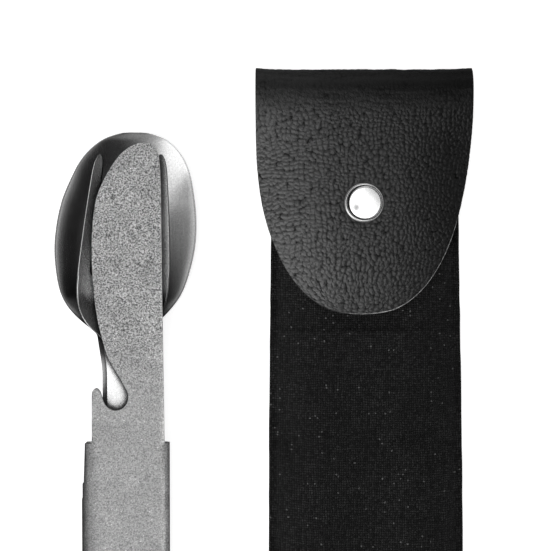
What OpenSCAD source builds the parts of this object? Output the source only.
// Picnic cutlery: a knife whose handle is a folded channel, with a fork and a
// spoon that slide out of it, beside a canvas pouch with a leather snap flap.
// Millimetres, +Z up, table at z = 0. Cutlery heads and the pouch's mouth are
// towards +Y; the pouch is centred near x = 0 with its front panel up.
// Names end in _t for a thickness, _hw for a half-width and _r for a radius.

/* [Cutlery layout] */
// X of the cutlery's centre line, from the pouch's centre line
cutlery_x = -71.55; // [-76:0.5:-70]
// Y of the blade end of the folded handle
cutlery_y = -3.6; // [-10:0.2:0]
// Pitch of the nested set as it lies on its bowl and its handle end
rest_pitch = 2.88; // [2.8:0.01:2.96]

/* [Knife] */
// Thickness of the knife's sheet on its flat
knife_t = 1.5; // [1.3:0.1:1.6]
// Half of the handle channel's outside width
channel_hw = 13.25; // [13.1:0.05:13.5]
// Thickness of the folded flanges
flange_t = 1.2; // [1.1:0.1:1.25]
// Length of the folded handle
channel_len = 103; // [95:1:110]
// Outside radius of the fold between the flat and a flange
fold_r = 3.2; // [3:0.1:3.4]
// Distance from the channel's centre line to a retaining lip's inner edge
lip_in = 9.3; // [8.5:0.1:9.8]

/* [Fork and spoon] */
// Thickness of the fork's sheet
fork_t = 1.2; // [1:0.1:1.2]
// Thickness of the spoon's sheet
spoon_t = 1.2; // [1:0.1:1.2]
// Half of the spoon handle's width
spoon_handle_hw = 11; // [10:0.1:11.2]
// Half of the fork handle's width
fork_handle_hw = 10.4; // [9.5:0.1:10.4]
// Widest half-width of the spoon's bowl
bowl_hw = 21.7; // [20.5:0.05:22]
// Depth of the spoon's bowl below its rim
bowl_depth = 5.95; // [5.5:0.05:6]
// Sideways lean of the two heads, as a slope
head_lean = 0.078; // [0:0.002:0.08]

/* [Pouch] */
// Thickness of the canvas
canvas_t = 0.9; // [0.7:0.05:0.95]
// Half of the pouch's width at its mid length
pouch_hw = 29.2; // [28.4:0.1:29.6]
// Y of the pouch's sewn bottom end
pouch_bottom = -109.5; // [-115:0.5:-105]
// Y of the mouth's edge on the front panel
mouth_y = 99; // [97:0.5:99.5]
// Height of the front panel's crown
crown_z = 10.5; // [9.5:0.1:10.6]

/* [Flap] */
// Thickness of the leather
leather_t = 1.4; // [1.1:0.1:1.4]
// Half of the flap's width at its fold
flap_hw = 32.65; // [31:0.05:34]
// Y of the flap's rounded end
flap_end = 35; // [33:0.5:38]
// Y of the fold's centre line, which the flap turns about
fold_y = 101.6; // [101:0.1:102]
// Height of the fold's centre line
fold_z = 7.15; // [7.1:0.05:7.2]

/* [Snap fastener] */
// Y of the snap's centre
snap_y = 68.4; // [66:0.2:70]
// X of the snap's centre
snap_x = -0.45; // [-1:0.05:1]
// Radius of the snap's cap
cap_r = 5.9; // [5.5:0.1:6.5]
// Radius of the stud's head
stud_r = 2.2; // [2:0.05:2.2]

/* [Hidden] */
$fn = 48;

steel = [0.62, 0.62, 0.61];
bright = [0.8, 0.8, 0.8];
canvas = [0.05, 0.05, 0.05];
leather = [0.09, 0.09, 0.09];
seam_thread = [0.03, 0.03, 0.03];
stitch_thread = [0.12, 0.12, 0.12];

// ---- shared shapes ----
// smooth step from 0 at start to 1 at end
function smooth(start, end, v) =
    let (t = min(1, max(0, (v - start) / (end - start)))) t * t * (3 - 2 * t);
// superellipse quadrant: 1 at u = 0, falling to 0 at u = 1 and beyond
function falloff(u, inner, outer) = pow(max(0, 1 - pow(u, inner)), outer);
// the larger of two widths, with a soft change between them
function blend(a, b) = pow(pow(a, 6) + pow(b, 6), 1 / 6);
// Catmull-Rom curve through an open run of points, n steps to a span
function catmull(a, b, c, d, t) = 0.5 * (2 * b + (c - a) * t
    + (2 * a - 5 * b + 4 * c - d) * t * t + (3 * b - a - 3 * c + d) * t * t * t);
function spline(pts, n) = let (last = len(pts) - 1) concat(
    [for (i = [0 : last - 1], k = [0 : n - 1])
        catmull(pts[max(i - 1, 0)], pts[i], pts[i + 1], pts[min(i + 2, last)], k / n)],
    [pts[last]]);
function arc(cx, cy, r, start, end, n) =
    [for (k = [0 : n]) let (a = start + (end - start) * k / n) [cx + r * cos(a), cy + r * sin(a)]];
function reversed(list) = [for (i = [len(list) - 1 : -1 : 0]) list[i]];
// the same outline across x = 0, run backwards so that it joins on
function mirrored(pts) = reversed([for (p = pts) [-p[0], p[1]]]);

// A closed sheet over a grid of cells. point(i, j) is on the upper face, i along
// the length and j across; cells where filled(i, j) is false are left open.
module grid_sheet(rows, cols, thick, point, filled) {
    stride = cols + 1;
    under = (rows + 1) * stride;       // index offset from an upper point to its lower one
    on = function (i, j) i >= 0 && j >= 0 && i < rows && j < cols && filled(i, j);
    top = [for (i = [0 : rows], j = [0 : cols]) point(i, j)];
    low = [for (p = top) [p[0], p[1], p[2] - thick]];
    faces = [for (i = [0 : rows - 1], j = [0 : cols - 1]) if (on(i, j))
        let (a = i * stride + j, b = a + 1, d = a + stride, c = d + 1)
        each concat(
            [[a, d, c], [a, c, b]],
            [[a + under, b + under, c + under], [a + under, c + under, d + under]],
            on(i, j - 1) ? [] : [[a, a + under, d + under, d]],
            on(i, j + 1) ? [] : [[b, c, c + under, b + under]],
            on(i - 1, j) ? [] : [[a, b, b + under, a + under]],
            on(i + 1, j) ? [] : [[c, d, d + under, c + under]])];
    polyhedron(points = concat(top, low), faces = faces, convexity = 6);
}

// ---- cutlery, drawn flat about its own axis and then laid on the table ----
lift = 6.81;                           // sets the bowl and the far end of the channel on the table
nest_gap = 0.3;
fork_z = spoon_t + nest_gap;           // underside of the fork's handle
knife_z = fork_z + fork_t + nest_gap;  // underside of the knife's flat
handle_end = -105;
round_y = -98;                         // where the handles start to round off
// stations along both handles, from there to the neck
handle_rows = [round_y, -60, -20, -4, -1, 2, 5, 9, 14, 18];

module lay_down() translate([cutlery_x, cutlery_y, lift]) rotate([rest_pitch, 0, 0]) children();

// handle half-width: full width in the channel, narrowing to the neck
function handle_hw(y, full, neck) = y < round_y
    ? min(full, full * falloff((round_y - y) / (round_y - handle_end), 2.4, 0.45) + 0.6)
    : neck + (full - neck) * (1 - smooth(-4, 9, y));
// x of a head's centre line, which crosses the axis at pivot_y
function head_x(y, slope, pivot_y) = slope * (y - pivot_y) * smooth(20, 42, y);

// ---- spoon ----
spoon_rows = concat([handle_end, -104.8, -104.2, -103.2, -101.6, -99.6], handle_rows,
    [for (k = [0 : 28]) 21 + 2.37 * k], [89.1, 90.5, 91.7, 92.6, 93.3, 93.75, 93.9]);
spoon_cols = 22;
spoon_neck_hw = 7.15;
bowl_y = 61;                           // widest place
bowl_front = 32.95;                    // from there to the tip
bowl_back = 29.5;                      // and to the neck
well_y = 61.7;                         // deepest place
well_reach = 32;
spoon_drop = 3.8;                      // the rim is this far below the handle

function spoon_hw(y) = let (
    front = falloff(max(0, y - bowl_y) / bowl_front, 2, 0.44),
    back = falloff(max(0, bowl_y - y) / bowl_back, 2, 0.52),
    bowl = bowl_hw * min(front, back))
    y > bowl_y ? max(bowl, 0.7) : blend(bowl, handle_hw(y, spoon_handle_hw, spoon_neck_hw));
function spoon_top(side, y) = spoon_t - spoon_drop * smooth(22, 44, y)
    - bowl_depth * falloff(abs(y - well_y) / well_reach, 2.4, 1) * falloff(abs(side), 2, 0.85);

module spoon() color(steel) lay_down()
    grid_sheet(len(spoon_rows) - 1, spoon_cols, spoon_t,
        function (i, j) let (y = spoon_rows[i], side = sin(90 * (2 * j / spoon_cols - 1)))
            [head_x(y, head_lean, 69) + side * spoon_hw(y), y, spoon_top(side, y)],
        function (i, j) true);

// ---- fork ----
slot_root = 50;
fork_rows = concat([-104.4, -104.2, -103.6, -102.6, -101, -99], handle_rows,
    [for (k = [0 : 14]) 22 + 2 * k], [for (k = [1 : 11]) slot_root + 2.7 * k],
    [81.4, 83.2, 84.7, 85.8, 86.5, 86.9, 87.05]);
fork_neck_hw = 6.4;
fork_head_hw = 14.4;
fork_head_y = 48.5;                    // widest place
shoulder_len = 18;
tip_y = 80;                            // where the tines start to round off
tip_len = 7.15;
// cells and shares of the width across the head: four tines and three slots
tine_cells = 4;
slot_cells = 2;
pitch_cells = tine_cells + slot_cells;
fork_cols = 4 * tine_cells + 3 * slot_cells;
tine_w = 0.145;
slot_w = (1 - 4 * tine_w) / 3;

function fork_hw(y) = y > fork_head_y
    ? fork_head_hw - 3.4 * pow((y - fork_head_y) / 38.5, 1.4)
    : blend(fork_head_hw * falloff((fork_head_y - y) / shoulder_len, 2.4, 0.5),
        handle_hw(y, fork_handle_hw, fork_neck_hw));
// place across the width, -1 to 1, of grid column j
function fork_side(j, y) = let (
    cell = j % pitch_cells,
    left = floor(j / pitch_cells) * (tine_w + slot_w),
    pinch = y < tip_y ? 1 : max(0.02, falloff((y - tip_y) / tip_len, 2.2, 0.5)),
    share = cell <= tine_cells
        ? left + tine_w * (0.5 + (cell / tine_cells - 0.5) * pinch)
        : left + tine_w + slot_w / 2)
    2 * share - 1;
// the head drops from the handle, rises to the tips and curls up at its sides
function fork_top(side, y) = fork_z + fork_t - 3.4 * smooth(22, 46, y)
    + 1.3 * smooth(60, 88, y) + 1.2 * side * side * smooth(36, 50, y);

module fork() color(steel) lay_down()
    grid_sheet(len(fork_rows) - 1, fork_cols, fork_t,
        function (i, j) let (y = fork_rows[i], side = fork_side(j, y))
            [head_x(y, head_lean * 0.81, 66.5) + side * fork_hw(y), y, fork_top(side, y)],
        function (i, j) j % pitch_cells < tine_cells || fork_rows[i] < slot_root);

// ---- knife ----
// [x, y] up the blade's left edge, round the tip and on to its right edge
blade_edge = [
    [-10.45, 3], [-10.4, 14.1], [-10.1, 15.9], [-9.3, 16.6], [-8.5, 16.5], [-7.7, 15.4],
    [-7, 13.1], [-6.2, 11.5], [-4.8, 10.4], [-2.9, 10.0], [-1, 10.7], [0.2, 12.2],
    [0.6, 14.1], [0.2, 16], [-2, 19.9], [-3.9, 23.1], [-5.8, 26.8], [-7.9, 34.4],
    [-9.1, 41], [-10, 50.7], [-10.2, 57.9], [-10, 64.1], [-9.4, 70], [-8.3, 75],
    [-5.8, 80.4], [-3.2, 84.6], [-0.7, 87.5], [2.4, 89.5], [5.5, 90.2], [7.6, 89.7],
    [9.1, 88.3], [9.9, 86], [10.3, 80], [10.5, 67.5], [10.9, 39]];
knife_top = knife_z + knife_t;
lip_z = -0.4;                          // top of the retaining lips
lip_r = 1.5;                           // outside radius of the fold to a lip
lip_chamfer = 0.35;
channel_low = lip_z - flange_t;
channel_x = -0.45;                     // the channel's centre line
inner_hw = channel_hw - flange_t;
inner_r = 2;
plan_r = 6;                            // corners of the channel's far end, in plan

module blade_outline() polygon(concat([[-9.8, -6], [-9.8, 0], [-10.45, 0]],
    spline(blade_edge, 3), [[11.1, 28], [11.4, 0], [9.3, 0], [9.3, -6]]));

// right halves of the channel's section, as [x, z]
channel_outer = concat([[lip_in, channel_low]],
    arc(channel_hw - lip_r, channel_low + lip_r, lip_r, -90, 0, 5),
    arc(channel_hw - fold_r, knife_top - fold_r, fold_r, 0, 90, 9));
channel_inner = concat(
    arc(inner_hw - inner_r, knife_z - inner_r, inner_r, 90, 0, 7),
    [[inner_hw, lip_z + lip_chamfer], [inner_hw - lip_chamfer, lip_z], [lip_in, lip_z]]);
module channel_profile() polygon(concat(channel_outer, mirrored(channel_outer),
    mirrored(channel_inner), channel_inner));

// trims the channel's far corners; its sides and near end are clear of the channel
module handle_plan() {
    corner_x = channel_hw - plan_r;
    corner_y = plan_r - channel_len;
    polygon(concat([[-14, 1], [-14, corner_y]],
        arc(-corner_x, corner_y, plan_r, 180, 270, 8),
        arc(corner_x, corner_y, plan_r, -90, 0, 8),
        [[14, corner_y], [14, 1]]));
}

module knife() color(steel) lay_down() union() {
    left = channel_x - channel_hw;
    translate([0, 0, knife_z]) linear_extrude(knife_t) blade_outline();
    difference() {
        intersection() {
            translate([channel_x, 0, 0]) rotate([90, 0, 0])
                linear_extrude(channel_len) channel_profile();
            translate([channel_x, 0, -10]) linear_extrude(20) handle_plan();
        }
        // the left flange is set in a little next to the blade
        translate([0, 0, channel_low - 1]) linear_extrude(knife_z + 2.2) polygon([
            [left - 1, 1], [left + 0.77, 1], [left + 0.25, -17], [left - 1, -17]]);
    }
}

// ---- pouch ----
layer_gap = 0.05;
seam_top = 2 * canvas_t + layer_gap;
corner_r = 5;                          // bottom corners
step_y = 68;                           // the panels step up here, over the leather anchor
step_len = 8;
step_h = leather_t + layer_gap;
back_mouth_y = 101;
front_hole_r = 1.4;                    // for the snap's post

function panel_hw(y) = pouch_hw + (y > 0 ? -1.3 * y / 100 : -0.6 * y / 110)
    - (y < pouch_bottom + corner_r
        ? corner_r * (1 - falloff((pouch_bottom + corner_r - y) / corner_r, 2, 0.5)) : 0);
function corner_rows(n) = [for (k = [0 : n]) pouch_bottom + corner_r * (1 - cos(90 * k / n))];
panel_rows = concat(corner_rows(5),
    [-102, -99, -96, -92, -88, -84, -80, -76, -71, -65], [for (k = [0 : 8]) -58 + 12 * k],
    [44, 52, 60, 68, 72, 76, 82, 88, 94, mouth_y]);
panel_cols = 32;

// flat seam margins with a crown between them, which fades out at the bottom
function front_top(side, y) = let (
    across = falloff(max(0, (abs(side) - 0.38) / 0.56), 2.2, 1),
    along = smooth(-107, -68, y) * (0.9 + 0.1 * smooth(-80, 36, y)),
    base = seam_top + step_h * min(1, max(0, (y - step_y) / step_len)))
    base + (crown_z - base) * across * along;
module canvas_front() color(canvas) difference() {
    grid_sheet(len(panel_rows) - 1, panel_cols, canvas_t,
        function (i, j) let (y = panel_rows[i], side = 2 * j / panel_cols - 1)
            [side * panel_hw(y), y, front_top(side, y)],
        function (i, j) true);
    at_snap(crown_z - 2) cylinder(r = front_hole_r, h = 4);
}

module panel_plan() {
    right = [for (y = concat(corner_rows(6), [0, back_mouth_y])) [panel_hw(y), y]];
    polygon(concat(right, mirrored(right)));
}
// the plan meets the stepped [y, z] section run across the pouch
module canvas_back() color(canvas) intersection() {
    step_end = step_y + step_len;
    translate([0, 0, -1]) linear_extrude(6) panel_plan();
    rotate([90, 0, 90]) translate([0, 0, -40]) linear_extrude(80) polygon([
        [pouch_bottom - 1, 0], [step_y, 0], [step_end, step_h], [back_mouth_y + 1, step_h],
        [back_mouth_y + 1, step_h + canvas_t], [step_end - 0.2, step_h + canvas_t],
        [step_y - 0.2, canvas_t], [pouch_bottom - 1, canvas_t]]);
}

module seam_stitch(x, y) translate([x, y, 0.1])
    cylinder(r = 0.22, h = seam_top - 0.2, $fn = 16);
// threads that close the seam margin down both sides and across the bottom
module side_seam_thread() color(seam_thread) {
    for (side = [-1, 1], k = [0 : 23])
        let (y = -98 + 6 * k) seam_stitch(side * (panel_hw(y) - 0.85), y);
    for (k = [-3 : 3]) seam_stitch(k * 7, pouch_bottom + 1);
}

// ---- leather flap ----
flap_top = 2 * fold_z;                 // outer face of the closed flap
flap_under = flap_top - leather_t;     // inner face of the closed flap
leather_x = -0.7;                      // centre line of the leather
leather_y = fold_y - 0.05;             // where the flat leather meets the fold
taper_y = 96;                          // the flap narrows from here to its end
flap_hole_r = 1.85;                    // for the cap's barrel
flap_rows = [leather_y, taper_y, 88, 80, 72, 64, 57, 51, 46.5, 43, 40.5,
    38.7, 37.3, 36.3, 35.6, 35.2];

function flap_w(y) =
    flap_hw * falloff(max(0, taper_y - y) / (taper_y - flap_end), 2.2, 1 / 2.4);
module flap() color(leather) difference() {
    right = [for (y = flap_rows) [flap_w(y), y]];
    translate([leather_x, 0, flap_under]) linear_extrude(leather_t)
        polygon(concat(right, [[0, flap_end]], mirrored(right)));
    at_snap(flap_under - 1) cylinder(r = flap_hole_r, h = 4);
}

// the bend that joins the flap to its anchor, which flexes as the flap opens
module flap_fold() color(leather) translate([leather_x, fold_y, fold_z]) rotate([0, 90, 0])
    translate([0, 0, -flap_hw]) rotate([0, 0, 0.4])
    rotate_extrude(angle = 179.2, $fn = 96)
    translate([fold_z - leather_t, 0]) square([leather_t, 2 * flap_hw]);

// the part of the leather that is sewn to the outside of the back panel
anchor_end = 79;
anchor_hw = flap_hw - 0.7;
anchor_r = 8;
module flap_anchor() color(leather) translate([leather_x, 0, 0]) linear_extrude(leather_t)
    polygon(concat([[flap_hw, leather_y], [-flap_hw, leather_y]],
        arc(-anchor_hw + anchor_r, anchor_end + anchor_r, anchor_r, 180, 270, 9),
        arc(anchor_hw - anchor_r, anchor_end + anchor_r, anchor_r, -90, 0, 9)));

stitch = 3.2;                          // pitch of the anchor's stitches
module stitch_row(y, n) for (k = [-n : n]) translate([leather_x + (k - 0.5) * stitch, y, 0]) {
    translate([0.35, 0, 0.3]) rotate([0, 90, 0]) cylinder(r = 0.24, h = stitch - 0.7, $fn = 16);
    translate([0, 0, 0.5]) cylinder(r = 0.2, h = 2.2, $fn = 16);
}
module anchor_stitches() color(stitch_thread) {
    stitch_row(82.5, 6);
    stitch_row(96.5, 7);
}

// ---- snap fastener; turned profiles are [radius, z] ----
snap_gap = 0.02;
socket_z = flap_under - 1.95;
rim_r = 0.45;                          // roll of the cap's rim
post_base = 0.5;                       // thickness of the post's flange
post_drop = canvas_t + post_base + snap_gap;

module at_snap(z) translate([snap_x, snap_y, z]) children();
// pressed dome with a rolled rim and the barrel that rivets it through the flap
module snap_cap() color(bright) at_snap(flap_top + snap_gap) union() {
    rotate_extrude() polygon(concat([[0, 0], [cap_r - rim_r, 0]],
        arc(cap_r - rim_r, rim_r, rim_r, -90, 70, 6),
        [[cap_r - 0.75, 1.0]], arc(cap_r - 1.5, 1.05, 0.75, 10, 78, 5),
        [[2.6, 2.02], [0, 2.15]]));
    translate([0, 0, -leather_t - 0.45]) cylinder(r = 1.6, h = leather_t + 0.5);
}
module snap_socket() color(bright) at_snap(socket_z) rotate_extrude() polygon([
    [2.32, 0], [4.6, 0], [5, 0.4], [5, 1.5], [4.6, 1.92], [1.68, 1.92], [1.68, 1.42],
    [2.4, 1.42], [2.4, 0.8], [3, 0.8], [3, 0.2], [2.32, 0.2]]);
// split ring of wire in the socket's groove, which springs over the stud's head
module snap_spring() color(steel) at_snap(socket_z + 0.47) rotate([0, 0, 115])
    rotate_extrude(angle = 310, $fn = 64) translate([2.2, 0]) circle(r = 0.22, $fn = 24);
module snap_stud() color(bright) at_snap(crown_z + snap_gap) rotate_extrude() polygon(concat([
    [1.25, 0], [4.3, 0], [4.5, 0.16], [4.3, 0.32], [2.2, 0.35], [1.9, 0.5], [1.9, 1.1]],
    arc(stud_r - 0.35, 1.45, 0.35, -30, 90, 5), [[1.25, 1.8]]));
// flange inside the front panel and the pin that carries the stud
module snap_post() color(bright) at_snap(crown_z - post_drop) union() {
    cylinder(r = 4.2, h = post_base);
    cylinder(r = 1.22, h = post_drop + 1.5);
}

knife();
fork();
spoon();
canvas_back();
canvas_front();
side_seam_thread();
flap_anchor();
anchor_stitches();
flap();
flap_fold();
snap_cap();
snap_socket();
snap_spring();
snap_stud();
snap_post();
